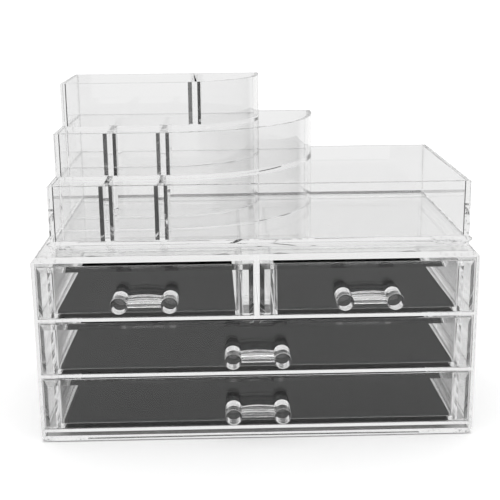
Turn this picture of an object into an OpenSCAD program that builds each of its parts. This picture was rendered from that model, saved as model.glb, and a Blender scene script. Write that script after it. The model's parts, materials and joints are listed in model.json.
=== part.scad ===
// Clear acrylic vanity organizer: a case with four drawers in three rows, and a
// stepped cosmetics tray that stands loose on top of it.
// Millimetres. X runs along the front from left to right, Y runs from the drawer
// fronts to the back and Z is up. The origin is under the middle of the whole
// object, on the surface that it stands on.

/* [Case] */
// Width of the case over its two sides
case_w = 240; // [200:1:320]
// Depth of the case, from the drawer fronts to its back face
case_d = 137; // [120:1:200]
// Thickness of the two side panels
side_t = 2.2; // [1.6:0.1:4]
// Thickness of the top panel and of the back panel
panel_t = 2.5; // [2:0.1:4]
// Thickness of the bottom pan
base_t = 3; // [2:0.1:4]
// Radius of the pan's two long lower edges
base_r = 4.5; // [3:0.1:8]
// How far the pan's turned-up ends rise past that radius
end_rise = 0.6; // [0.2:0.1:3]
// Height of the bevel along the front and the sides of the top panel
top_bevel = 2.3; // [0.5:0.1:2.4]
// Height of the pad that the case stands on
foot_h = 0.6; // [0.4:0.1:3]
// Distance from the case's outline to the pad
foot_inset = 14; // [4:1:40]

/* [Rows] */
// Distance from one row of drawers to the next
row_pitch = 32.1; // [26:0.1:50]
// Thickness of the shelves
shelf_t = 1.9; // [1.4:0.1:3]
// Gap between the bottom pan and the lowest shelf
base_gap = 2.2; // [1:0.1:6]
// Extra headroom over the top row
top_room = 1; // [0:0.1:4]
// Thickness of the upright panel between the two top drawers
divider_t = 3; // [2:0.1:5]

/* [Drawers] */
// Clearance around a drawer front and under a drawer
slide_gap = 0.3; // [0.2:0.05:0.8]
// Gap over a drawer front, below the shelf
head_gap = 1.9; // [0.6:0.1:3]
// Thickness of the drawer fronts
front_t = 4; // [3:0.1:6]
// Width of the bevel along the top and the ends of a drawer front
front_bevel = 2.4; // [0.5:0.1:2.8]
// Width of the bevel along its foot
front_foot = 0.6; // [0.2:0.1:2.8]
// How far a front reaches past its box on each side
front_lap = 5.6; // [3:0.1:10]
// Wall thickness of the drawer boxes
box_t = 2.4; // [1.6:0.1:3.5]
// Floor thickness of the drawer boxes
box_floor_t = 1.8; // [1.2:0.1:3]
// Distance from the top of a front down to the rim of its box
box_drop = 1; // [0.5:0.1:6]
// Free depth left behind the drawer boxes
back_room = 5.5; // [2:0.5:20]

/* [Liners] */
// Thickness of the soft mats on the drawer floors
liner_t = 1.2; // [0.8:0.1:3]
// Gap between a mat and the drawer front
liner_gap = 1; // [0.5:0.1:3]
// Gap between a mat and the sides of its box
liner_side = 2; // [0.5:0.1:4]
// Bare floor that a mat leaves at the back of its box
liner_back = 20; // [0.5:0.5:40]

/* [Handles] */
// Distance between the two posts of a handle
post_span = 26.6; // [22:0.1:40]
// Radius of the posts
post_r = 4.6; // [3:0.05:6]
// How far the posts stand out of the drawer front
post_out = 13; // [11:0.5:18]
// Radius of the bar at its middle
bar_mid_r = 3.5; // [3:0.1:4.2]
// Radius of the bar where it meets the posts
bar_end_r = 2.8; // [2:0.1:2.9]
// Distance from the drawer front to the middle of the bar
bar_out = 6.6; // [5.5:0.1:8]
// How far the handles sit below the middle of the front
handle_drop = 3.7; // [0:0.1:6]
// Rounding of the front edge of a post
post_edge = 0.8; // [0.2:0.1:1.5]

/* [Tray] */
// How much narrower the tray is than the case, on each side
tray_inset = 7; // [4:0.5:15]
// Distance from the drawer fronts back to the tray's front wall
tray_set = 8.5; // [4:0.5:12]
// How far the tray stands to the right of the case's middle
tray_shift = 2.5; // [-5:0.5:5]
// Wall thickness of the tray
wall_t = 2.5; // [2:0.1:4]
// Thickness of the tray's floors
floor_t = 3; // [2:0.1:4]
// Height of the skirt that holds the floor off the case
skirt_h = 2.9; // [1:0.1:6]
// How far the bead at floor level stands out of the walls
bead_out = 2.3; // [0.5:0.1:4]
// How far the bead's upper slope rises above the floor
bead_rise = 1; // [0.5:0.1:6]
// How far the bead's foremost line lies below the floor's upper face
bead_dip = 0.9; // [0.2:0.1:2]
// How far the bead's lower slope ends above the foot of the skirt
bead_clear = 2.8; // [1:0.1:4]
// Thickness of the small upright dividers
rib_t = 3; // [1.8:0.1:4]

/* [Tiers] */
// Height of the front tier's walls above the case
tier_1_h = 37; // [26:0.5:60]
// How far the middle tier's walls rise above the front tier's
tier_2_rise = 23.6; // [12:0.1:50]
// How far the back tier's walls rise above the middle tier's
tier_3_rise = 24.3; // [12:0.1:50]
// Distance from the tray's front to the middle tier
tier_2_set = 30; // [24:0.5:45]
// Distance from the tray's front to the back tier
tier_3_set = 63.5; // [56:0.5:80]
// Width of the middle tier, where it is widest
tier_2_w = 150; // [120:1:170]
// Width of the back tier, where it is widest
tier_3_w = 116.5; // [90:0.5:125]
// Distance from the tray's back face to where the tiers' curves end
arc_back = 8.7; // [6:0.1:20]
// How far a tier's floor lies below the rim in front of it
floor_drop = 0.8; // [0:0.1:4]
// Distance from the tray's left face to the first divider
rib_1_x = 30.7; // [20:0.5:40]
// Distance from the tray's left face to the second divider
rib_2_x = 60.1; // [45:0.1:61]
// Distance from the tray's left face to the back tier's divider
rib_3_x = 77; // [66:0.5:84]

/* [Hidden] */

$fn = 96;
cut = 1; // how far a cutting shape reaches past what it cuts
clear = [0.88, 0.91, 0.93, 0.45];
felt = [0.06, 0.06, 0.065];

// Heights of the case, from the ground up
pan_top = foot_h + base_t;
side_low = foot_h + base_r + end_rise; // the sides stand on the pan's turned-up ends
shelf_z = [for (i = [0:2]) pan_top + base_gap + shelf_t + i * row_pitch]; // shelf tops
row_open = row_pitch - shelf_t;
top_z = shelf_z[2] + row_open + top_room;
case_h = top_z + panel_t;
mid_y = (case_d - post_out) / 2; // middle of the whole depth, handles included
inner_w = case_w - 2 * side_t;
back_y = case_d - panel_t;

// Drawer sizes
front_h = row_open - slide_gap - head_gap;
wide_w = inner_w - 2 * slide_gap;
small_w = (inner_w - divider_t) / 2 - 2 * slide_gap;
small_x = (inner_w + divider_t) / 4;
box_end = back_y - back_room;
box_h = front_h - box_drop;
grip_z = front_h / 2 - handle_drop; // height of a handle above the foot of its front

// Tray levels and outlines, measured from the case's top and the tray's corner
tray_w = case_w - 2 * tray_inset;
tray_d = case_d - tray_set - bead_out; // the bead is flush with the case's back
tray_x = tray_shift - tray_w / 2;
tray_z = case_h;
floor_z = skirt_h + floor_t;
tier_2_h = tier_1_h + tier_2_rise;
tier_3_h = tier_2_h + tier_3_rise;
tier_2_z = tier_1_h - floor_drop;
tier_3_z = tier_2_h - floor_drop;
straight_w = rib_2_x + rib_t / 2; // the tiers' fronts run straight at least this far
reach = wall_t + bead_out; // how far the corner cuts run past the walls
corner_in = bead_out * 0.75; // centre of the bead's corner arcs, inside the walls
bead_top = floor_z + bead_rise;
bead_mid = floor_z - bead_dip;
bead_low = min(bead_clear, bead_mid - 1);

// ---- case -------------------------------------------------------------------

// Puts the construction's front plane where the whole object is centred
module place() { translate([0, -mid_y, 0]) children(); }

// A profile drawn in X and Z, carried back from y0 to y1
module run_y(y0, y1) {
    translate([0, y1, 0]) rotate([90, 0, 0]) linear_extrude(y1 - y0) children();
}

// A profile drawn in Y and Z, carried across from x0 to x1
module run_x(x0, x1) {
    translate([x0, 0, 0]) rotate([90, 0, 90]) linear_extrude(x1 - x0) children();
}

// Pan with its two ends turned up round the lower edges, and the pad under it
module case_bottom() {
    color(clear) place() {
        run_y(0, case_d) difference() {
            translate([-case_w / 2, foot_h]) square([case_w, side_low - foot_h]);
            translate([-inner_w / 2, pan_top]) square([inner_w, side_low]);
            for (right = [0, 1]) mirror([right, 0])
                translate([base_r - case_w / 2, foot_h + base_r]) difference() {
                    translate([-base_r - cut, -base_r - cut]) square(base_r + cut);
                    circle(base_r);
                }
        }
        translate([foot_inset - case_w / 2, foot_inset, 0])
            cube([case_w - 2 * foot_inset, case_d - 2 * foot_inset, foot_h + 0.1]);
    }
}

// Side panel, standing on the pan's upturned edge; side is -1 or 1
module case_side(side) {
    color(clear) place()
        translate([side > 0 ? inner_w / 2 : -case_w / 2, 0, side_low])
            cube([side_t, case_d, top_z - side_low]);
}

module case_back() {
    color(clear) place()
        translate([-inner_w / 2, back_y, pan_top]) cube([inner_w, panel_t, top_z - pan_top]);
}

// Top panel with its front and side edges bevelled
module case_top() {
    half = case_w / 2;
    color(clear) place() intersection() {
        run_y(0, case_d) polygon([
            [-half, top_z], [half, top_z], [half, case_h - top_bevel],
            [half - top_bevel, case_h], [top_bevel - half, case_h],
            [-half, case_h - top_bevel],
        ]);
        run_x(-half, half) polygon([
            [0, top_z], [case_d, top_z], [case_d, case_h],
            [top_bevel, case_h], [0, case_h - top_bevel],
        ]);
    }
}

module shelf(row) {
    color(clear) place()
        translate([-inner_w / 2, 0, shelf_z[row] - shelf_t]) cube([inner_w, back_y, shelf_t]);
}

module case_divider() {
    color(clear) place()
        translate([-divider_t / 2, 0, shelf_z[2]])
            cube([divider_t, back_y, top_z - shelf_z[2]]);
}

// ---- drawers ----------------------------------------------------------------

// Moves a drawer's pieces to the foot of its front: x is the middle of the drawer
module at_drawer(x, row) {
    place() translate([x, 0, shelf_z[row] + slide_gap]) children();
}

// Front plate with bevelled edges, the bevel along the foot a narrow one
module drawer_front(x, row, w) {
    color(clear) at_drawer(x, row) intersection() {
        run_x(-w / 2, w / 2) polygon([
            [front_foot, 0], [front_t, 0], [front_t, front_h],
            [front_bevel, front_h], [0, front_h - front_bevel], [0, front_foot],
        ]);
        linear_extrude(front_h) polygon([
            [-w / 2, front_bevel], [front_bevel - w / 2, 0], [w / 2 - front_bevel, 0],
            [w / 2, front_bevel], [w / 2, front_t], [-w / 2, front_t],
        ]);
    }
}

// Open box behind the plate: floor, two sides and a back
module drawer_box(x, row, w) {
    box_w = w - 2 * front_lap;
    color(clear) at_drawer(x, row) difference() {
        translate([-box_w / 2, front_t, 0]) cube([box_w, box_end - front_t, box_h]);
        translate([box_t - box_w / 2, front_t - cut, box_floor_t])
            cube([box_w - 2 * box_t, box_end - box_t - front_t + cut, box_h]);
    }
}

module drawer_liner(x, row, w) {
    mat_w = w - 2 * (front_lap + box_t + liner_side);
    mat_d = box_end - box_t - front_t - liner_gap - liner_back;
    color(felt) at_drawer(x, row)
        translate([-mat_w / 2, front_t + liner_gap, box_floor_t])
            cube([mat_w, mat_d, liner_t]);
}

// Post with a rounded front edge, standing out of the plate along -Y
module post() {
    rotate([90, 0, 0]) rotate_extrude() {
        square([post_r, post_out - post_edge]);
        square([post_r - post_edge, post_out]);
        translate([post_r - post_edge, post_out - post_edge]) intersection() {
            circle(post_edge, $fn = 32);
            square(post_edge);
        }
    }
}

// Barrel-shaped bar along X: an arc that swells from the end radius to the middle one
module bar() {
    half = post_span / 2;
    rise = bar_mid_r - bar_end_r;
    arc_r = (half * half + rise * rise) / (2 * rise);
    rotate([0, 90, 0]) rotate_extrude() intersection() {
        translate([bar_mid_r - arc_r, 0]) circle(arc_r, $fn = 360);
        translate([0, -half]) square([bar_mid_r + cut, post_span]);
    }
}

module drawer_handle(x, row) {
    color(clear) at_drawer(x, row) translate([0, 0, grip_z]) {
        for (side = [-1, 1]) translate([side * post_span / 2, 0, 0]) post();
        difference() {
            translate([0, -bar_out, 0]) bar();
            for (side = [-1, 1]) translate([side * post_span / 2, 0, 0])
                rotate([90, 0, 0]) cylinder(h = post_out, r = post_r - 0.2);
        }
    }
}

// ---- tray -------------------------------------------------------------------

// The tray's own corner: left face, front face and the case's top
module at_tray() { place() translate([tray_x, tray_set, tray_z]) children(); }

// Cross-section of an outer wall: skirt, bead and wall, with its face at 0
module wall_profile(h) {
    polygon([
        [0, 0], [wall_t, 0], [wall_t, h], [0, h],
        [0, bead_top], [-bead_out, bead_mid], [0, bead_low],
    ]);
}

// Keeps the part of the front wall between its mitred corners
module mitre_front() {
    linear_extrude(tier_3_h) intersection() {
        bead_plan();
        polygon([
            [-reach, -reach], [tray_w + reach, -reach],
            [tray_w - wall_t, wall_t], [wall_t, wall_t],
        ]);
    }
}

// Keeps the part of a side wall between its mitred corners
module mitre_side() {
    linear_extrude(tier_3_h) intersection() {
        bead_plan();
        polygon([
            [-reach, -reach], [wall_t, wall_t],
            [wall_t, tray_d - wall_t], [-reach, tray_d + reach],
        ]);
    }
}

// Ground plan of the bead with its rounded corners
module bead_plan() {
    r = bead_out + corner_in;
    difference() {
        translate([-bead_out, -bead_out])
            square([tray_w + 2 * bead_out, tray_d + 2 * bead_out]);
        for (right = [0, 1], far = [0, 1])
            translate([right * tray_w, far * tray_d]) mirror([right, 0]) mirror([0, far])
                difference() {
                    translate([-reach, -reach]) square([reach + corner_in, reach + corner_in]);
                    translate([corner_in, corner_in]) circle(r);
                    translate([corner_in, -reach]) square([reach, 3 * reach]);
                    translate([-reach, corner_in]) square([3 * reach, reach]);
                }
    }
}

// A flat stepped sheet seen from its face: full height past each step
module steps(length, first, second) {
    polygon([
        [-reach, 0], [length + reach, 0], [length + reach, tier_3_h],
        [second, tier_3_h], [second, tier_2_h], [first, tier_2_h],
        [first, tier_1_h], [-reach, tier_1_h],
    ]);
}

module tray_front() {
    color(clear) at_tray() intersection() {
        run_x(-bead_out, tray_w + bead_out) wall_profile(tier_1_h);
        mitre_front();
    }
}

module tray_left() {
    color(clear) at_tray() intersection() {
        run_y(-bead_out, tray_d + bead_out) wall_profile(tier_3_h);
        mitre_side();
        run_x(-reach, wall_t) steps(tray_d, tier_2_set, tier_3_set);
    }
}

module tray_right() {
    color(clear) at_tray() translate([tray_w, 0, 0]) mirror([1, 0, 0]) intersection() {
        run_y(-bead_out, tray_d + bead_out) wall_profile(tier_1_h);
        mitre_side();
    }
}

module tray_back() {
    color(clear) at_tray() intersection() {
        translate([0, tray_d, 0]) mirror([0, 1, 0]) intersection() {
            run_x(-bead_out, tray_w + bead_out) wall_profile(tier_3_h);
            mitre_front();
        }
        translate([tray_w, 0, 0]) mirror([1, 0, 0]) run_y(tray_d - wall_t, tray_d + reach)
            steps(tray_w, tray_w - tier_2_w, tray_w - tier_3_w);
    }
}

// Radius of a tier's outer curve: it ends arc_back in front of the tray's back face
function tier_r(set, w) = min(tray_d - arc_back - set, w - straight_w);

// Ground plan of a tier: straight on the left, then a quarter arc, then straight to
// the back. inset moves the front and the curve inwards, and over moves the left
// and back edges outwards
module tier_plan(set, w, inset, over = 0) {
    r = tier_r(set, w);
    left = wall_t - over;
    back = tray_d - wall_t + over;
    translate([left, set + inset]) square([w - r - left, back - set - inset]);
    translate([w - r, set + r]) intersection() {
        circle(r - inset, $fn = 180);
        translate([-0.1, -r]) square([r + 0.1, r + 0.1]);
    }
    translate([w - r - 0.1, set + r]) square([r - inset + 0.1, back - set - r]);
}

// Curved front of a tier, standing on the floor at height low
module tier_wall(set, w, low, high) {
    color(clear) at_tray() translate([0, 0, low]) linear_extrude(high - low) difference() {
        tier_plan(set, w, 0);
        tier_plan(set, w, wall_t, cut);
    }
}

module tray_floor() {
    color(clear) at_tray() translate([wall_t, wall_t, skirt_h])
        cube([tray_w - 2 * wall_t, tray_d - 2 * wall_t, floor_t]);
}

module tier_2_floor() {
    color(clear) at_tray() translate([0, 0, tier_2_z - floor_t]) linear_extrude(floor_t)
        difference() {
            tier_plan(tier_2_set, tier_2_w, wall_t);
            tier_plan(tier_3_set, tier_3_w, 0, cut);
        }
}

module tier_3_floor() {
    color(clear) at_tray() translate([0, 0, tier_3_z - floor_t]) linear_extrude(floor_t)
        tier_plan(tier_3_set, tier_3_w, wall_t);
}

// Upright divider of one tier, from y0 to y1 and from its floor to its rim
module divider(x, y0, y1, low, high) {
    color(clear) at_tray() translate([x - rib_t / 2, y0, low])
        cube([rib_t, y1 - y0, high - low]);
}

module tier_1_divider(x) { divider(x, wall_t, tier_2_set, floor_z, tier_1_h); }

module tier_2_divider(x) {
    divider(x, tier_2_set + wall_t, tier_3_set, tier_2_z, tier_2_h);
}

// Divider of the back tier, from the inner face of its curved front to the back wall
module tier_3_divider() {
    r = tier_r(tier_3_set, tier_3_w);
    side = max(rib_3_x + rib_t / 2 - tier_3_w + r, 0);
    in_r = r - wall_t;
    front = tier_3_set + r - sqrt(in_r * in_r - side * side);
    divider(rib_3_x, front, tray_d - wall_t, tier_3_z, tier_3_h);
}

// ---- nodes ------------------------------------------------------------------

case_bottom();
case_side(-1);  // case_left
case_side(1);  // case_right
case_back();
case_top();
shelf(0);  // shelf_lower
shelf(1);  // shelf_middle
shelf(2);  // shelf_upper
case_divider();

// Drawers 1 and 2 are the small ones at the top, 3 is the middle one, 4 the lowest
drawer_front(-small_x, 2, small_w);  // drawer_1_front
drawer_box(-small_x, 2, small_w);  // drawer_1_box
drawer_liner(-small_x, 2, small_w);  // drawer_1_liner
drawer_handle(-small_x, 2);  // drawer_1_handle
drawer_front(small_x, 2, small_w);  // drawer_2_front
drawer_box(small_x, 2, small_w);  // drawer_2_box
drawer_liner(small_x, 2, small_w);  // drawer_2_liner
drawer_handle(small_x, 2);  // drawer_2_handle
drawer_front(0, 1, wide_w);  // drawer_3_front
drawer_box(0, 1, wide_w);  // drawer_3_box
drawer_liner(0, 1, wide_w);  // drawer_3_liner
drawer_handle(0, 1);  // drawer_3_handle
drawer_front(0, 0, wide_w);  // drawer_4_front
drawer_box(0, 0, wide_w);  // drawer_4_box
drawer_liner(0, 0, wide_w);  // drawer_4_liner
drawer_handle(0, 0);  // drawer_4_handle

tray_front();
tray_left();
tray_right();
tray_back();
tray_floor();
tier_wall(tier_2_set, tier_2_w, floor_z, tier_2_h);  // tier_2_wall
tier_wall(tier_3_set, tier_3_w, floor_z, tier_3_h);  // tier_3_wall
tier_2_floor();
tier_3_floor();
tier_1_divider(rib_1_x);  // tier_1_divider_left
tier_1_divider(rib_2_x);  // tier_1_divider_right
tier_2_divider(rib_1_x);  // tier_2_divider_left
tier_2_divider(rib_2_x);  // tier_2_divider_right
tier_3_divider();
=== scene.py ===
"""Clear acrylic makeup organizer: a moulded case with four drawers under a stepped tray."""

import json

import bmesh
import bpy
import numpy as np
from mathutils import Matrix, Vector


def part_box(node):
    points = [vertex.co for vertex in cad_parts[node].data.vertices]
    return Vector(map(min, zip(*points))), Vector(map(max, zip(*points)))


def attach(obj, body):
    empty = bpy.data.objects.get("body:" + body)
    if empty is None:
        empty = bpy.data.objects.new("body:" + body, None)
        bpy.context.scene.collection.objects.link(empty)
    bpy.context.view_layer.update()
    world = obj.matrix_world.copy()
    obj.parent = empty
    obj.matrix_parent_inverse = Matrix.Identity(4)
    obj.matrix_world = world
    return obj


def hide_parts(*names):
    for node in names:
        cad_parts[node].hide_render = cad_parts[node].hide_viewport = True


bl_info = {
    "name": "Acrylic Makeup Organizer",
    "version": (1, 0, 0),
    "blender": (4, 5, 0),
    "location": "View3D > Sidebar > Organizer",
    "description": "Builds a clear organizer with four drawers, mats, fluted handles and a stepped tray",
    "category": "Object",
}

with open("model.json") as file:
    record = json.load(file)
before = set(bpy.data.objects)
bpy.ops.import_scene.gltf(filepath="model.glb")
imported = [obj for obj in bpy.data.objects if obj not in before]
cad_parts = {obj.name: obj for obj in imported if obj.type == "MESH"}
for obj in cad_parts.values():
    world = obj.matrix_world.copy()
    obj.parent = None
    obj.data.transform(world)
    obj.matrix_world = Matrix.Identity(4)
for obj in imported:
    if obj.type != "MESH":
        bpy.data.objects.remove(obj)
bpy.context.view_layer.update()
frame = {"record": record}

MM = 0.001
WALL = 2.5 * MM  # the tray's outer walls
BEAD = 2.3 * MM  # how far the tray's bead stands out of them
ARC_BACK = 8.7 * MM  # the tiers' curves end this far in front of the tray's back face
SINK = 0.4 * MM  # how far one solid is sunk into the next before they are joined
AIR = 0.12 * MM  # film of air under the tray, which touches the case at a few points only
CORNER_WEB = 0.3  # webs in the tray's outer corners, as a part of the dividers' webs
BAR_END = 2.8 * MM  # radius of a handle's bar at its ends
BAR_GAIN = 0.7 * MM  # how much thicker the bar is in its middle
BAR_OUT = 6.6 * MM  # the bar's centre line stands this far in front of the plate
POST_EDGE = 0.9 * MM  # rounding of a handle post's front edge


# ---- shapes ------------------------------------------------------------------


def build_mesh(name, points, faces):
    """Object of that name from points (N, 3) and faces, with its normals pointing outwards."""
    mesh = bpy.data.meshes.new(name)
    mesh.from_pydata(points.tolist(), [], faces)
    bm = bmesh.new()
    bm.from_mesh(mesh)
    bmesh.ops.recalc_face_normals(bm, faces=bm.faces)
    bm.to_mesh(mesh)
    bm.free()
    obj = bpy.data.objects.new(name, mesh)
    bpy.context.scene.collection.objects.link(obj)
    return obj


def strip_faces(rows, columns, wrap_rows=False):
    """Quads between neighbouring rings: point i of ring j is number j * columns + i."""
    j = np.arange(rows if wrap_rows else rows - 1)[:, None]
    i = np.arange(columns)[None, :]
    k, n = (j + 1) % rows, (i + 1) % columns
    quads = np.stack([j * columns + i, j * columns + n, k * columns + n, k * columns + i], axis=-1)
    return quads.reshape(-1, 4).tolist()


def loft(name, rings):
    """Closed solid through rings (K, N, 3), with a flat face over the first and the last."""
    rows, columns = rings.shape[:2]
    last = (rows - 1) * columns
    faces = strip_faces(rows, columns)
    faces.append(np.arange(columns)[::-1].tolist())
    faces.append((np.arange(columns) + last).tolist())
    return build_mesh(name, rings.reshape(-1, 3), faces)


def hoop(name, rings):
    """Closed ring-shaped solid: the last ring joins up with the first."""
    rows, columns = rings.shape[:2]
    return build_mesh(name, rings.reshape(-1, 3), strip_faces(rows, columns, wrap_rows=True))


def prism(name, outline, low, high, along="z"):
    """Outline (N, 2) carried from low to high along one axis.

    Along z the outline is (x, y), along y it is (x, z), and along x it is (y, z)."""
    u, v = np.asarray(outline, float).T
    place = {"z": lambda t: (u, v, t), "y": lambda t: (u, t, v), "x": lambda t: (t, u, v)}[along]
    rings = [np.stack(np.broadcast_arrays(*place(t)), axis=-1) for t in (low, high)]
    return loft(name, np.array(rings))


def slab(name, box, grow=(0, 0, 0), cut=(0, 0, 0)):
    """Block over a pair of corners, moved out by grow below and by cut above."""
    low, high = np.array(box[0]) - np.array(grow), np.array(box[1]) + np.array(cut)
    outline = np.array([low[:2], (high[0], low[1]), high[:2], (low[0], high[1])])
    return prism(name, outline, low[2], high[2])


def arc(centre, radius, start, end, count):
    """Points of an arc: centre + radius * (cos a, sin a), a from start to end in degrees."""
    a = np.radians(np.linspace(start, end, count))
    return np.array(centre) + radius * np.stack([np.cos(a), np.sin(a)], axis=-1)


def rounded_rectangle(low, high, radii, count=8):
    """Outline with four arc corners, anticlockwise from the low corner; radii one or four."""
    radii = np.broadcast_to(radii, 4)
    (x0, y0), (x1, y1) = low, high
    corners = [(x0, y0, 1, 1), (x1, y0, -1, 1), (x1, y1, -1, -1), (x0, y1, 1, -1)]
    return np.concatenate([
        arc((x + sx * r, y + sy * r), r, 180 + 90 * k, 270 + 90 * k, count)
        for k, ((x, y, sx, sy), r) in enumerate(zip(corners, radii))
    ])


def web(name, corner, way, width, low, high, slope=0.0):
    """Straight web in the upright corner of a wall along x and a divider along y.

    way points at the open side of the corner, and slope is how much the wall's face rises
    in y for each step in x. The web reaches 1.2 times as far along the divider."""
    c, w = np.array(corner), np.array(way)
    sink = -SINK / width
    outline = w * width * np.array([(1, 0), (0, 1.2), (sink, 1.2), (sink, sink), (1, sink)])
    outline[:, 1] += slope * np.maximum(outline[:, 0] * w[0], 0) * w[0]
    return prism(name, c + outline, low, high)


def join_solids(name, solids, cuts=()):
    """One closed mesh: all the solids united, then the cuts taken away."""
    base = solids[0]
    for tool, operation in [*((s, "UNION") for s in solids[1:]), *((c, "DIFFERENCE") for c in cuts)]:
        step = base.modifiers.new("join", "BOOLEAN")
        step.object, step.operation, step.solver = tool, operation, "MANIFOLD"
    mesh = bpy.data.meshes.new_from_object(base.evaluated_get(bpy.context.evaluated_depsgraph_get()))
    for tool in (*solids, *cuts):
        bpy.data.meshes.remove(tool.data)
    mesh.name = name
    piece = bpy.data.objects.new(name, mesh)
    bpy.context.scene.collection.objects.link(piece)
    return piece


def finish_surface(piece, edge=0.0, angle=25, sharp=65, narrow=4 * MM):
    """Shades curves smooth and the rest flat, and rounds the sharp outward edges.

    A point on the straight line between its only two neighbours is taken away first, because
    it would bend the flat faces beside it. A face is in a curve when it is narrow and turns
    by less than the angle into its neighbours over two edges. The strips that round an edge
    stay flat, so that they don't bend the shading of the walls beside them."""
    bm = bmesh.new()
    bm.from_mesh(piece.data)
    bmesh.ops.remove_doubles(bm, verts=bm.verts, dist=0.005 * MM)
    spare = [v for v in bm.verts if len(v.link_edges) == 2 and v.calc_edge_angle(0) < 0.001]
    bmesh.ops.dissolve_verts(bm, verts=spare)
    limit, corner, no_angle = float(np.radians(angle)), float(np.radians(sharp)), 10.0
    for face in bm.faces:
        slight = [e.calc_length() for e in face.edges if 0.001 < e.calc_face_angle(no_angle) < limit]
        face.smooth = len(slight) >= 2 and face.calc_area() / max(slight) < narrow
    for e in bm.edges:
        e.smooth = e.calc_face_angle(no_angle) < limit
    if edge:
        outward = [e for e in bm.edges if e.is_convex and e.calc_face_angle(0) > corner]
        strips = bmesh.ops.bevel(bm, geom=outward, offset=edge, segments=2, profile=0.5,
                                 affect="EDGES", clamp_overlap=False)
        for face in strips["faces"]:
            face.smooth = False
    bm.to_mesh(piece.data)
    bm.free()


# ---- settings ----------------------------------------------------------------


def hex_color(code):
    """Linear RGBA of an sRGB hex colour: c / 12.92 below 0.04045, else ((c + 0.055) / 1.055) ^ 2.4."""
    c = np.array([int(code[i:i + 2], 16) for i in (1, 3, 5)]) / 255
    linear = np.where(c <= 0.04045, c / 12.92, ((c + 0.055) / 1.055) ** 2.4)
    return (*linear.tolist(), 1.0)


def node(tree, kind, inputs=None, links=None, **settings):
    """Adds one node: its properties, its inputs' values, and links from other sockets."""
    new = tree.nodes.new(kind)
    for key, value in settings.items():
        setattr(new, key, value)
    for key, value in (inputs or {}).items():
        new.inputs[key].default_value = value
    for key, socket in (links or {}).items():
        tree.links.new(socket, new.inputs[key])
    return new


class OrganizerShape(bpy.types.PropertyGroup):
    """Sizes of the moulded pieces that the solids leave plain."""

    edge: bpy.props.FloatProperty(
        name="Edge Rounding", description="Radius of the moulded pieces' outer edges",
        default=0.25 * MM, min=0.1 * MM, max=0.3 * MM, subtype="DISTANCE")
    junction: bpy.props.FloatProperty(
        name="Junction Width", description="Width of the webs where a divider meets a wall",
        default=2.1 * MM, min=0.5 * MM, max=3 * MM, subtype="DISTANCE")
    flutes: bpy.props.IntProperty(
        name="Flutes", description="Flutes round the bar of a handle", default=14, min=6, max=24)
    flute_depth: bpy.props.FloatProperty(
        name="Flute Depth", description="Depth of those flutes",
        default=0.6 * MM, min=0, max=0.8 * MM, subtype="DISTANCE")
    arch: bpy.props.FloatProperty(
        name="Handle Arch", description="How far the bar of a handle rises in its middle",
        default=0.9 * MM, min=0, max=2 * MM, subtype="DISTANCE")
    curl: bpy.props.FloatProperty(
        name="Mat Curl", description="How far the back corners of the mats lift",
        default=1.6 * MM, min=0, max=4 * MM, subtype="DISTANCE")


class OrganizerFinish(bpy.types.PropertyGroup):
    """Colours of the acrylic and of the mats."""

    acrylic: bpy.props.FloatVectorProperty(
        name="Acrylic", description="Tint of the clear acrylic", subtype="COLOR", size=4,
        default=hex_color("#FDFDFD"), min=0, max=1)
    mat: bpy.props.FloatVectorProperty(
        name="Mats", description="Colour of the drawer mats", subtype="COLOR", size=4,
        default=hex_color("#141414"), min=0, max=1)


def shape():
    """The sizes that the user can change."""
    return bpy.context.scene.organizer_shape


def finish():
    """The colours that the user can change."""
    return bpy.context.scene.organizer_finish


# ---- materials ---------------------------------------------------------------


def clear_acrylic(name, ripple, length=0.03):
    """Injection-moulded acrylic (PMMA), polished by the mould: clear as glass, with the
    faint waves that moulding leaves, length long, and a slight haze that varies over the surface."""
    mat = bpy.data.materials.get(name)
    if mat:
        return mat
    mat = bpy.data.materials.new(name)
    mat.use_nodes = True
    tree = mat.node_tree
    shader = tree.nodes["Principled BSDF"]
    shader.inputs["Base Color"].default_value = tuple(finish().acrylic)
    shader.inputs["Transmission Weight"].default_value = 1.0
    shader.inputs["IOR"].default_value = 1.49
    place = node(tree, "ShaderNodeTexCoord")
    waves = node(tree, "ShaderNodeTexNoise", {"Scale": 1 / length, "Detail": 1.0, "Roughness": 0.4},
                 {"Vector": place.outputs["Object"]})
    bump = node(tree, "ShaderNodeBump", {"Strength": ripple, "Distance": 0.0001},
                {"Height": waves.outputs["Fac"]})
    tree.links.new(bump.outputs["Normal"], shader.inputs["Normal"])
    # patches of haze are about 11 mm across
    haze = node(tree, "ShaderNodeTexNoise", {"Scale": 90.0, "Detail": 4.0},
                {"Vector": place.outputs["Object"]})
    spread = node(tree, "ShaderNodeMapRange",
                  {"From Min": 0.4, "From Max": 0.75, "To Min": 0.0, "To Max": 0.02},
                  {"Value": haze.outputs["Fac"]})
    tree.links.new(spread.outputs["Result"], shader.inputs["Roughness"])
    return mat


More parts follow.
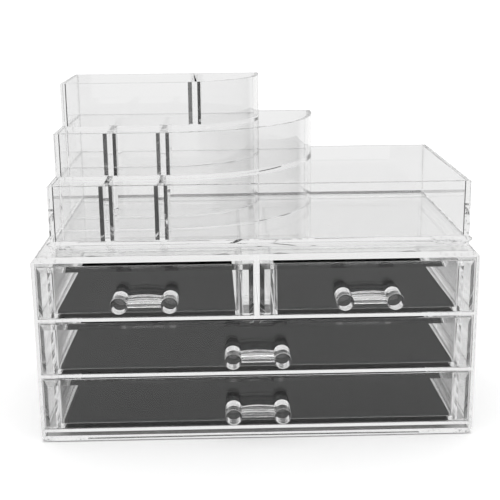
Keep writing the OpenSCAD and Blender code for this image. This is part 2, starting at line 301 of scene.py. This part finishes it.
def mat_cloth():
    """Black needle felt mat: matt, with short fibres that catch a little light."""
    mat = bpy.data.materials.get("Black felt mat")
    if mat:
        return mat
    mat = bpy.data.materials.new("Black felt mat")
    mat.use_nodes = True
    tree = mat.node_tree
    shader = tree.nodes["Principled BSDF"]
    shader.inputs["Roughness"].default_value = 0.95
    shader.inputs["Specular IOR Level"].default_value = 0.15
    place = node(tree, "ShaderNodeTexCoord")
    # fibres are drawn 0.8 mm apart, twice as coarse as real felt's, so that they show
    fibres = node(tree, "ShaderNodeTexNoise", {"Scale": 1250.0, "Detail": 3.0},
                  {"Vector": place.outputs["Object"]})
    dark = tuple(finish().mat)
    light = tuple(min(1.0, 2.2 * c) for c in dark[:3]) + (1.0,)
    ramp = node(tree, "ShaderNodeValToRGB", links={"Fac": fibres.outputs["Fac"]})
    ramp.color_ramp.elements[0].position, ramp.color_ramp.elements[0].color = 0.35, dark
    ramp.color_ramp.elements[1].position, ramp.color_ramp.elements[1].color = 0.75, light
    tree.links.new(ramp.outputs["Color"], shader.inputs["Base Color"])
    bump = node(tree, "ShaderNodeBump", {"Strength": 0.5, "Distance": 0.0003},
                {"Height": fibres.outputs["Fac"]})
    tree.links.new(bump.outputs["Normal"], shader.inputs["Normal"])
    return mat


def paint(piece, material):
    """Gives the whole piece one material."""
    piece.data.materials.clear()
    piece.data.materials.append(material)
    piece.data.polygons.foreach_set("material_index", np.zeros(len(piece.data.polygons), int))


# ---- case --------------------------------------------------------------------


class ORGANIZER_OT_case(bpy.types.Operator):
    """Case: pan, sides, back, bevelled top, three shelves and the upright divider, in one moulding"""

    bl_idname = "organizer.case"
    bl_label = "Build Case"

    def execute(self, context):
        top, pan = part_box("case_top"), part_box("case_bottom")
        left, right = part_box("case_left"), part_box("case_right")
        x0, y0, x1, y1 = top[0][0], top[0][1], top[1][0], top[1][1]
        bevel = 2.3 * MM
        land = top[1][2] - top[0][2] - bevel  # upright edge under the bevel
        lid = loft("lid", np.array([
            [(x0 + b, y0 + b, z), (x1 - b, y0 + b, z), (x1 - b, y1, z), (x0 + b, y1, z)]
            for z, b in ((top[0][2] - SINK, 0), (top[1][2] - bevel, 0), (top[1][2], bevel))
        ]))
        foot, side = 0.6 * MM, left[1][0] - left[0][0]
        r, low, inner = 4.5 * MM, left[0][2], 3.6 * MM
        u0, u1 = pan[0][0], pan[1][0]
        pan_line = np.concatenate([
            arc((u0 + r, foot + r), r, 180, 270, 12), arc((u1 - r, foot + r), r, 270, 360, 12),
            [(u1, low + SINK), (u1 - side, low + SINK), (u1 - side, inner),
             (u0 + side, inner), (u0 + side, low + SINK), (u0, low + SINK)],
        ])
        inset = 14 * MM
        pad = [(u0 + inset, y0 + inset, 0), (u1 - inset, y1 - inset, foot)]
        solids = [
            prism("pan", pan_line, y0, y1, "y"),
            slab("pad", pad, cut=(0, 0, SINK)),
            lid,
            slab("left", left, grow=(0, 0, SINK / 2), cut=(0, 0, land / 2)),
            slab("right", right, grow=(0, 0, SINK / 2), cut=(0, 0, land / 2)),
            slab("back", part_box("case_back"), grow=(SINK,) * 3, cut=(SINK, 0, SINK)),
            slab("divider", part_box("case_divider"), grow=(0, 0, SINK), cut=(0, SINK, land / 2)),
        ]
        for shelf in ("shelf_lower", "shelf_middle", "shelf_upper"):
            solids.append(slab(shelf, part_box(shelf), grow=(SINK, 0, 0), cut=(SINK, SINK, 0)))
        case = join_solids("case_moulding", solids)
        finish_surface(case, shape().edge)
        paint(case, clear_acrylic("Moulded acrylic, case", 0.08))
        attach(case, "case")
        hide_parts("case_bottom", "case_left", "case_right", "case_back", "case_top",
                    "shelf_lower", "shelf_middle", "shelf_upper", "case_divider")
        return {"FINISHED"}


# ---- drawers -----------------------------------------------------------------


def drawer_body(number):
    """Bevelled front plate and the tapered box behind it, as one clear moulding."""
    plate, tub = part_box(f"drawer_{number}_front"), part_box(f"drawer_{number}_box")
    bevel, foot, wall, floor = 2.4 * MM, 0.6 * MM, 2.1 * MM, 1.8 * MM
    (x0, y0, z0), (x1, y1, z1) = plate
    front = loft("plate", np.array([
        [(x0 + b, y, z0 + f), (x1 - b, y, z0 + f), (x1 - b, y, z1 - b), (x0 + b, y, z1 - b)]
        for y, b, f in ((y1, 0, 0), (y0 + bevel, 0, 0), (y0 + foot, bevel - foot, 0), (y0, bevel, foot))
    ]))
    (u0, v0, w0), (u1, v1, w1) = tub
    corner = 2.5 * MM
    outer = np.concatenate([
        [(u0, v0 - SINK), (u1, v0 - SINK)], arc((u1 - corner, v1 - corner), corner, 0, 90, 8),
        arc((u0 + corner, v1 - corner), corner, 90, 180, 8)])
    shell = prism("shell", outer, w0, w1)
    # The hollow narrows towards the floor by 0.5 degrees, and its foot is rounded: each ring
    # is the hollow's outline at height w, moved in by d, and by a third of d at the front.
    deep = w1 - w0 - floor
    turn = np.linspace(0, 90, 6)
    foot_r = 0.9 * MM
    rise = np.concatenate([foot_r * (1 - np.cos(np.radians(turn))), [deep + 1 * MM]]) + w0 + floor
    taper = np.tan(np.radians(0.5)) * (w1 - rise)
    inward = taper + np.concatenate([foot_r * (1 - np.sin(np.radians(turn))), [0]])
    rings = []
    for w, d in zip(rise, inward):
        line = rounded_rectangle((u0 + wall + d, v0 + d / 3), (u1 - wall - d, v1 - wall - d), 1.5 * MM)
        rings.append(np.column_stack([line, np.full(len(line), w)]))
    hollow = loft("hollow", np.array(rings))
    body = join_solids(f"drawer_{number}_body", [shell], [hollow])
    body = join_solids(f"drawer_{number}_body", [body, front])
    finish_surface(body, shape().edge)
    paint(body, clear_acrylic("Moulded acrylic, drawers", 0.05))
    return body


class ORGANIZER_OT_drawers(bpy.types.Operator):
    """Four drawers, each a front plate and a box in one moulding"""

    bl_idname = "organizer.drawers"
    bl_label = "Build Drawers"

    def execute(self, context):
        for number in range(1, 5):
            body = drawer_body(number)
            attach(body, f"drawer_{number}")
            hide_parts(f"drawer_{number}_front", f"drawer_{number}_box")
        return {"FINISHED"}


# ---- handles -----------------------------------------------------------------


def handle_post(name, x, front, back, z, radius, edge):
    """Round post along y: an outline whose front edge is a quarter arc, turned about its axis.

    With a from 0 to 90 degrees, the arc's radius is radius - edge + edge * sin a, and it
    lies edge * (1 - cos a) behind the front."""
    turn = np.radians(np.linspace(0, 90, 7))
    hold = 0.15 * MM  # rings this close to the edges keep the shading of the post's side even
    tip = radius * 0.0001  # the first ring all but closes the front face
    out = np.concatenate([[tip], radius - edge + edge * np.sin(turn), [radius] * 3])
    along = np.concatenate([
        [front], front + edge * (1 - np.cos(turn)), [front + edge + hold, back - hold, back]])
    sides = 64
    around = np.radians(np.linspace(0, 360, sides, endpoint=False))
    rings = np.stack([
        x + out[:, None] * np.cos(around), np.repeat(along[:, None], sides, axis=1),
        z + out[:, None] * np.sin(around),
    ], axis=-1)
    return loft(name, rings)


def handle_bar(name, middle, half, arch, flutes, depth):
    """Fluted bar along x on a shallow arch.

    With s from -1 to 1 along the bar, its centre rises by arch * (1 - s^2), its radius is
    BAR_END + BAR_GAIN * (1 - s^2), and round it the radius dips by
    depth * (1 - cos(flutes * a)) / 2."""
    s = np.linspace(-1, 1, 33)[:, None]
    a = np.radians(np.linspace(0, 360, 12 * flutes, endpoint=False))[None, :]
    radius = BAR_END + BAR_GAIN * (1 - s**2) - depth / 2 * (1 - np.cos(flutes * a))
    rings = np.stack(np.broadcast_arrays(
        middle[0] + half * s, middle[1] + radius * np.cos(a),
        middle[2] + arch * (1 - s**2) + radius * np.sin(a),
    ), axis=-1)
    return loft(name, rings)


class ORGANIZER_OT_handles(bpy.types.Operator):
    """Four handles: two posts and a fluted bar, moulded in one"""

    bl_idname = "organizer.handles"
    bl_label = "Build Handles"

    def execute(self, context):
        size = shape()
        for number in range(1, 5):
            low, high = (np.array(corner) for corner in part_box(f"drawer_{number}_handle"))
            z, x = (low[2] + high[2]) / 2, (low[0] + high[0]) / 2
            radius = (high[2] - low[2]) / 2
            half = (high[0] - low[0]) / 2 - radius
            back = high[1] - 0.02 * MM  # a film of air between the post and the plate
            posts = [handle_post("post", x + side * half, low[1], back, z, radius, POST_EDGE)
                     for side in (-1, 1)]
            bar = handle_bar("bar", (x, high[1] - BAR_OUT, z), half, size.arch,
                             size.flutes, size.flute_depth)
            handle = join_solids(f"drawer_{number}_grip", [*posts, bar])
            finish_surface(handle)
            paint(handle, clear_acrylic("Moulded acrylic, handles", 1.0, length=3 * MM))
            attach(handle, f"drawer_{number}")
            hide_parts(f"drawer_{number}_handle")
        return {"FINISHED"}


# ---- mats --------------------------------------------------------------------


class ORGANIZER_OT_mats(bpy.types.Operator):
    """Four loose black mats that lie on the drawer floors, their back corners curled a little"""

    bl_idname = "organizer.mats"
    bl_label = "Build Mats"

    def execute(self, context):
        for number in range(1, 5):
            low, high = (np.array(corner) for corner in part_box(f"drawer_{number}_liner"))
            width, depth = high[0] - low[0], high[1] - low[1]
            front = low[1] - 0.7 * MM  # pushed forward, almost against the plate
            columns, rows = 121, 81
            s, t = np.meshgrid(np.linspace(-1, 1, columns), np.linspace(-1, 1, rows), indexing="ij")
            # Outline: half the width shrinks by 1.4 mm from front to back. Over the last
            # 5 mm of depth, where e goes from 0 to 1, it is less by 5 mm * (1 - sqrt(1 - e^2))
            # at the back, which rounds the corners, and by a tenth of that at the front.
            last = 2 * 5 * MM / depth
            end = np.clip((np.abs(t) - 1 + last) / last, 0, 1)
            half = width / 2 - (0.5 + t) * 0.7 * MM
            half = half - 5 * MM * (1 - np.sqrt(1 - end**2)) * (0.55 + 0.45 * t)
            # Height: the edges lift as the eighth power of the distance from the middle,
            # most at the back corners, over a faint long wave.
            lift = shape().curl * (0.15 * s**8 + 0.85 * s**8 * t**8 * (0.6 + 0.4 * t))
            wave = 0.12 * MM * (1 + np.sin(3.1 * s + number) * np.cos(2.3 * t + 0.7 * number))
            # At the front the mat clings to the floor and keeps light from running in it.
            loose = ((1 + t) / 2) ** 1.5
            points = np.stack([
                (low[0] + high[0]) / 2 + s * half, front + (1 + t) * depth / 2,
                low[2] - 0.03 * MM + loose * (0.13 * MM + lift + wave),
            ], axis=-1)
            j, i = np.meshgrid(np.arange(columns - 1), np.arange(rows - 1), indexing="ij")
            a = j * rows + i
            quads = np.stack([a, a + rows, a + rows + 1, a + 1], axis=-1).reshape(-1, 4)
            mesh = bpy.data.meshes.new(f"drawer_{number}_mat")
            mesh.from_pydata(points.reshape(-1, 3).tolist(), [], quads.tolist())
            mesh.shade_smooth()
            mat = bpy.data.objects.new(f"drawer_{number}_mat", mesh)
            context.scene.collection.objects.link(mat)
            thick = mat.modifiers.new("thickness", "SOLIDIFY")
            thick.thickness, thick.offset = 1.0 * MM, 1  # all of it above the mat's underside
            paint(mat, mat_cloth())
            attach(mat, f"drawer_{number}")
            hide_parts(f"drawer_{number}_liner")
        return {"FINISHED"}


# ---- tray --------------------------------------------------------------------


def tier_line(low, high, back, inset, over):
    """Ground plan of a tier's front: from the left end along the straight front, round a
    quarter arc that ends ARC_BACK before the tray's back, and straight to the back."""
    end = back - ARC_BACK
    radius = end - low[1]
    centre = (high[0] - radius, end)
    return np.concatenate([
        [(low[0] - over, low[1] + inset)], arc(centre, radius - inset, -90, 0, 64),
        [(high[0] - inset, high[1] + over)],
    ])


class ORGANIZER_OT_tray(bpy.types.Operator):
    """Stepped tray: outer walls with a bead, floors, two curved tiers and five dividers"""

    bl_idname = "organizer.tray"
    bl_label = "Build Tray"

    def execute(self, context):
        front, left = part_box("tray_front"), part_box("tray_left")
        right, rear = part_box("tray_right"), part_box("tray_back")
        x0, x1 = left[0][0] + BEAD, right[1][0] - BEAD
        y0, y1 = front[0][1] + BEAD, rear[1][1] - BEAD
        z0, z1, z3 = front[0][2] + AIR, front[1][2], rear[1][2]
        wall_2, wall_3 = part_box("tier_2_wall"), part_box("tier_3_wall")
        z2 = wall_2[1][2]
        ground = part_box("tray_floor")

        steps_y = [(y0, z0), (y1, z0), (y1, z3), (wall_3[0][1], z3), (wall_3[0][1], z2),
                   (wall_2[0][1], z2), (wall_2[0][1], z1), (y0, z1)]
        steps_x = [(x0, z0), (x1, z0), (x1, z1), (wall_2[1][0], z1), (wall_2[1][0], z2),
                   (wall_3[1][0], z2), (wall_3[1][0], z3), (x0, z3)]
        solids = [
            prism("left", steps_y, x0, x0 + WALL, "x"),
            prism("rear", steps_x, y1 - WALL, y1, "y"),
            slab("front", [(x0, y0, z0), (x1, y0 + WALL, z1)]),
            slab("right", [(x1 - WALL, y0, z0), (x1, y1, z1)]),
            slab("floor", ground, grow=(SINK, SINK, 0), cut=(SINK, SINK, 0)),
        ]
        walls, level = ((x0, y0), (x1, y1)), ground[1][2]
        high, tip, low = level + 1 * MM, level - 0.9 * MM, level - 3.6 * MM
        root = -2 * SINK
        solids.append(self.ring("bead", walls, BEAD, 4 * MM, [
            (root, high), (0, high), (BEAD, tip), (0, low), (root, low)]))
        # The skirt's foot is cut away under a slope of 25 degrees that starts 0.7 mm up the
        # walls' outer faces. The cut reaches a little below the foot and past the walls.
        slope, rise, below, past = np.tan(np.radians(25)), 0.7 * MM, 0.2 * MM, 1.5 * MM
        foot = self.ring("foot", walls, past, past + 2.2 * MM, [
            (-(rise + below) / slope, z0 - below), (past, z0 - below),
            (past, z0 + rise + past * slope)])
        for name, wall in (("tier_2", wall_2), ("tier_3", wall_3)):
            outer = tier_line(wall[0], wall[1], y1, 0, SINK)
            inner = tier_line(wall[0], wall[1], y1, WALL, SINK)
            band = np.concatenate([outer, inner[::-1]])
            solids.append(prism(name, band, wall[0][2] - SINK, wall[1][2]))
            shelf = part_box(f"{name}_floor")
            plan = np.concatenate([
                tier_line(wall[0], wall[1], y1, WALL - SINK, SINK),
                [(wall[0][0] - SINK, wall[1][1] + SINK)]])
            solids.append(prism(f"{name}_level", plan, shelf[0][2], shelf[1][2]))

        r = shape().junction
        for name in ("tier_1_divider_left", "tier_1_divider_right", "tier_2_divider_left",
                     "tier_2_divider_right", "tier_3_divider"):
            low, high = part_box(name)
            solids.append(slab(name, (low, high), grow=(0, SINK, SINK), cut=(0, SINK, 0)))
            for x, way_x in ((low[0], -1), (high[0], 1)):
                solids.append(web(name, (x, high[1]), (way_x, -1), r, low[2] - SINK, high[2]))
                y, slope = low[1], 0.0
                if name == "tier_3_divider":
                    y, slope = self.curve_at(wall_3, y1, x)
                solids.append(web(name, (x, y), (way_x, 1), r, low[2] - SINK, high[2], slope))
        floor_1, floor_2, floor_3 = (
            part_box(name)[1][2] for name in ("tray_floor", "tier_2_floor", "tier_3_floor"))
        for x, y, way_x, way_y, low, high in (
            (x0 + WALL, y0 + WALL, 1, 1, floor_1, z1),
            (x1 - WALL, y0 + WALL, -1, 1, floor_1, z1),
            (x1 - WALL, y1 - WALL, -1, -1, floor_1, z1),
            (x0 + WALL, wall_2[0][1] + WALL, 1, 1, floor_2, z2),
            (x0 + WALL, wall_3[0][1] + WALL, 1, 1, floor_3, z3),
            (x0 + WALL, y1 - WALL, 1, -1, floor_3, z3),
            (x0 + WALL, wall_2[0][1], 1, -1, floor_1, z1),
            (x0 + WALL, wall_3[0][1], 1, -1, floor_2, z2),
        ):
            solids.append(web("corner", (x, y), (way_x, way_y), CORNER_WEB * r, low - SINK, high))
        tray = join_solids("tray_moulding", solids, [foot])
        finish_surface(tray, shape().edge)
        paint(tray, clear_acrylic("Moulded acrylic, tray", 0.05))
        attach(tray, "tray")
        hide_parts(*frame["record"]["behaviour"]["bodies"]["tray"])
        return {"FINISHED"}

    def curve_at(self, wall, back, x):
        """Where a tier's curved inner face is at x, and how much it rises there for each step in x."""
        end = back - ARC_BACK
        radius = end - wall[0][1]
        across = x - (wall[1][0] - radius)
        along = np.sqrt((radius - WALL)**2 - across**2)
        return end - along, across / along

    def ring(self, name, corners, out, radius, profile):
        """Profile carried round a rectangle with arc corners; its points are (o, z).

        A point at distance o from the walls lies on a line that runs out from them, with
        corners of that radius, and is moved in by out - o along the line's normal."""
        (x0, y0), (x1, y1) = corners
        count = 10
        line = rounded_rectangle((x0 - out, y0 - out), (x1 + out, y1 + out), radius, count)
        turns = [np.linspace(180 + 90 * k, 270 + 90 * k, count) for k in range(4)]
        a = np.radians(np.concatenate(turns))
        normal = np.stack([np.cos(a), np.sin(a)], axis=-1)
        profile = np.array(profile)
        flat = line[:, None, :] + (profile[None, :, :1] - out) * normal[:, None, :]
        tall = np.broadcast_to(profile[None, :, 1:], flat.shape[:2] + (1,))
        return hoop(name, np.concatenate([flat, tall], axis=-1))


# ---- stage -------------------------------------------------------------------


class ORGANIZER_OT_stage(bpy.types.Operator):
    """White floor, soft studio light and the camera"""

    bl_idname = "organizer.stage"
    bl_label = "Build Stage"

    def execute(self, context):
        scene = context.scene
        far, z = 40.0, -0.05 * MM  # the paper lies a hair under the object
        corners = [(-far, -far, z), (far, -far, z), (far, far, z), (-far, far, z)]
        mesh = bpy.data.meshes.new("studio_floor")
        mesh.from_pydata(corners, [], [(0, 1, 2, 3)])
        floor = bpy.data.objects.new("studio_floor", mesh)
        scene.collection.objects.link(floor)
        floor.data.materials.append(self.floor_paint())
        self.light(scene)

        scene.view_settings.view_transform = "Standard"
        # Light runs far along inside the clear walls before it leaves them.
        scene.cycles.max_bounces = 64
        scene.cycles.transmission_bounces = 64
        scene.cycles.glossy_bounces = 64
        scene.cycles.diffuse_bounces = 3
        scene.cycles.transparent_max_bounces = 16

        # Place, turn and lens were solved from the photograph's straight edges.
        camera = bpy.data.cameras.new("photo_camera")
        camera.sensor_width, camera.lens = 36, 72.43
        camera.clip_start, camera.clip_end = 0.01, 200
        eye = bpy.data.objects.new("photo_camera", camera)
        turn = [Matrix.Rotation(np.radians(angle), 3, axis)
                for angle, axis in ((-1.41, "Z"), (-14.81, "X"), (0.56, "Y"))]
        right, ahead, up = (turn[0] @ turn[1] @ turn[2]).transposed()
        rotation = Matrix((right, up, -ahead)).transposed()
        eye.matrix_world = Matrix.Translation(Vector((-16.13, -578.13, 245.16)) * MM) @ rotation.to_4x4()
        scene.collection.objects.link(eye)
        scene.camera = eye
        return {"FINISHED"}

    def floor_paint(self):
        """White studio paper: matt, and lit up to white by its glow where it is looked at or mirrored,
        with a painted shadow under the case, where the glow is cut down. Seen through the clear pieces
        it shows under the case only: beside it they show the room behind them."""
        mat = bpy.data.materials.new("White studio paper")
        mat.use_nodes = True
        tree = mat.node_tree
        shader = tree.nodes["Principled BSDF"]
        shader.inputs["Base Color"].default_value = hex_color("#F2F2F2")
        shader.inputs["Roughness"].default_value = 0.9
        shader.inputs["Specular IOR Level"].default_value = 0.1
        place = node(tree, "ShaderNodeSeparateXYZ",
                     links={0: node(tree, "ShaderNodeTexCoord").outputs["Object"]})
        # Painted shadow under the case: the masks below mark the case's footprint, where the paper's
        # glow is cut from 0.42 to 0.1.
        (x0, y0, _), (x1, y1, _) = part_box("case_bottom")
        beside = [
            node(tree, "ShaderNodeMath", {1: edge}, {0: place.outputs[axis]}, operation=side).outputs[0]
            for axis, edge, side in ((0, x0, "LESS_THAN"), (0, x1, "GREATER_THAN"),
                                     (1, y0, "LESS_THAN"), (1, y1, "GREATER_THAN"))
        ]
        rays = node(tree, "ShaderNodeLightPath")
        seen = [rays.outputs[f"Is {kind} Ray"] for kind in ("Camera", "Glossy", "Transmission")]
        outside_painted_shadow, looked_at = (self.any_of(tree, sockets) for sockets in (beside, seen))
        level = node(tree, "ShaderNodeMapRange", {"To Min": 0.1, "To Max": 0.42}, {"Value": outside_painted_shadow})
        glow = node(tree, "ShaderNodeMath", links={0: level.outputs["Result"], 1: looked_at},
                    operation="MULTIPLY")
        shader.inputs["Emission Color"].default_value = (1, 1, 1, 1)
        tree.links.new(glow.outputs[0], shader.inputs["Emission Strength"])
        through = node(tree, "ShaderNodeMath", links={0: outside_painted_shadow, 1: seen[2]}, operation="MULTIPLY")
        clear = node(tree, "ShaderNodeBsdfTransparent")
        mixed = node(tree, "ShaderNodeMixShader",
                     links={0: through.outputs[0], 1: shader.outputs[0], 2: clear.outputs[0]})
        tree.links.new(mixed.outputs[0], tree.nodes["Material Output"].inputs["Surface"])
        return mat

    def any_of(self, tree, sockets):
        """1 where any of the sockets is 1: the largest of them."""
        found = sockets[0]
        for socket in sockets[1:]:
            found = node(tree, "ShaderNodeMath", links={0: found, 1: socket},
                         operation="MAXIMUM").outputs[0]
        return found

    def light(self, scene):
        """White room that is dark to the sides and the front for light mirrored in the object.

        What is seen straight through the clear pieces is a pale wall, from every side. Light
        that was mirrored in them and leaves sideways or towards the camera, within 25 degrees
        of the horizon, meets the dark studio instead, and draws black lines along their
        corners. Light mirrored once that leaves straight to the front keeps its level, and
        light mirrored once inside a piece that leaves straight up meets a bright lamp."""
        world = bpy.data.worlds.new("studio")
        scene.world = world
        world.use_nodes = True
        tree = world.node_tree

        def step(value, start, end):
            """0 up to start and 1 from end on, with a soft change between."""
            return node(tree, "ShaderNodeMapRange", {"From Min": start, "From Max": end},
                        {"Value": value}, interpolation_type="SMOOTHSTEP").outputs["Result"]

        def math(operation, first, second):
            """One sum, product, comparison or maximum of two sockets or numbers."""
            new = node(tree, "ShaderNodeMath", operation=operation)
            for slot, value in enumerate((first, second)):
                if isinstance(value, float):
                    new.inputs[slot].default_value = value
                else:
                    tree.links.new(value, new.inputs[slot])
            return new.outputs[0]

        way = node(tree, "ShaderNodeSeparateXYZ",
                   links={0: node(tree, "ShaderNodeTexCoord").outputs["Generated"]})
        rays = node(tree, "ShaderNodeLightPath")
        once = math("GREATER_THAN", rays.outputs["Glossy Depth"], 0.5)
        twice = math("GREATER_THAN", rays.outputs["Glossy Depth"], 1.5)
        front = step(way.outputs[1], -0.75, -0.85)
        mirrored = math("SUBTRACT", once, math("MULTIPLY", front, math("SUBTRACT", once, twice)))
        level = math("ABSOLUTE", way.outputs[2], 0.0)
        dark = math("MULTIPLY", step(level, 0.45, 0.38), step(way.outputs[1], 0.70, 0.55))
        dark = math("MULTIPLY", dark, mirrored)
        inside = math("GREATER_THAN", rays.outputs["Transmission Depth"], 0.5)
        lamp = math("MULTIPLY", step(way.outputs[2], 0.88, 0.95), math("SUBTRACT", once, twice))
        lamp = math("MULTIPLY", lamp, math("MULTIPLY", inside, 2.5))
        strength = math("ADD", math("MULTIPLY", dark, -0.84), math("ADD", lamp, 0.88))
        strength = math("MAXIMUM", strength, rays.outputs["Is Camera Ray"])
        back = tree.nodes["Background"]
        back.inputs["Color"].default_value = (1, 1, 1, 1)
        tree.links.new(strength, back.inputs["Strength"])


# ---- add-on ------------------------------------------------------------------


class ORGANIZER_PT_panel(bpy.types.Panel):
    """Lists the organizer's pieces and settings"""

    bl_label = "Makeup Organizer"
    bl_idname = "ORGANIZER_PT_panel"
    bl_space_type = "VIEW_3D"
    bl_region_type = "UI"
    bl_category = "Organizer"

    def draw(self, context):
        layout = self.layout
        for group in (context.scene.organizer_shape, context.scene.organizer_finish):
            for key in group.bl_rna.properties.keys():
                if key not in ("rna_type", "name"):
                    layout.prop(group, key)
        for operator in OPERATORS:
            layout.operator(operator.bl_idname)


OPERATORS = (
    ORGANIZER_OT_case, ORGANIZER_OT_drawers, ORGANIZER_OT_handles, ORGANIZER_OT_mats,
    ORGANIZER_OT_tray, ORGANIZER_OT_stage,
)
CLASSES = (OrganizerShape, OrganizerFinish, *OPERATORS, ORGANIZER_PT_panel)


def register():
    """Adds the classes and the scene's settings."""
    for item in CLASSES:
        bpy.utils.register_class(item)
    bpy.types.Scene.organizer_shape = bpy.props.PointerProperty(type=OrganizerShape)
    bpy.types.Scene.organizer_finish = bpy.props.PointerProperty(type=OrganizerFinish)


def unregister():
    """Takes the settings and the classes away again."""
    del bpy.types.Scene.organizer_finish
    del bpy.types.Scene.organizer_shape
    for item in reversed(CLASSES):
        bpy.utils.unregister_class(item)


def main():
    """Builds every piece and the stage."""
    register()
    bpy.ops.organizer.case()
    bpy.ops.organizer.drawers()
    bpy.ops.organizer.handles()
    bpy.ops.organizer.mats()
    bpy.ops.organizer.tray()
    bpy.ops.organizer.stage()


if __name__ == "__main__":
    main()
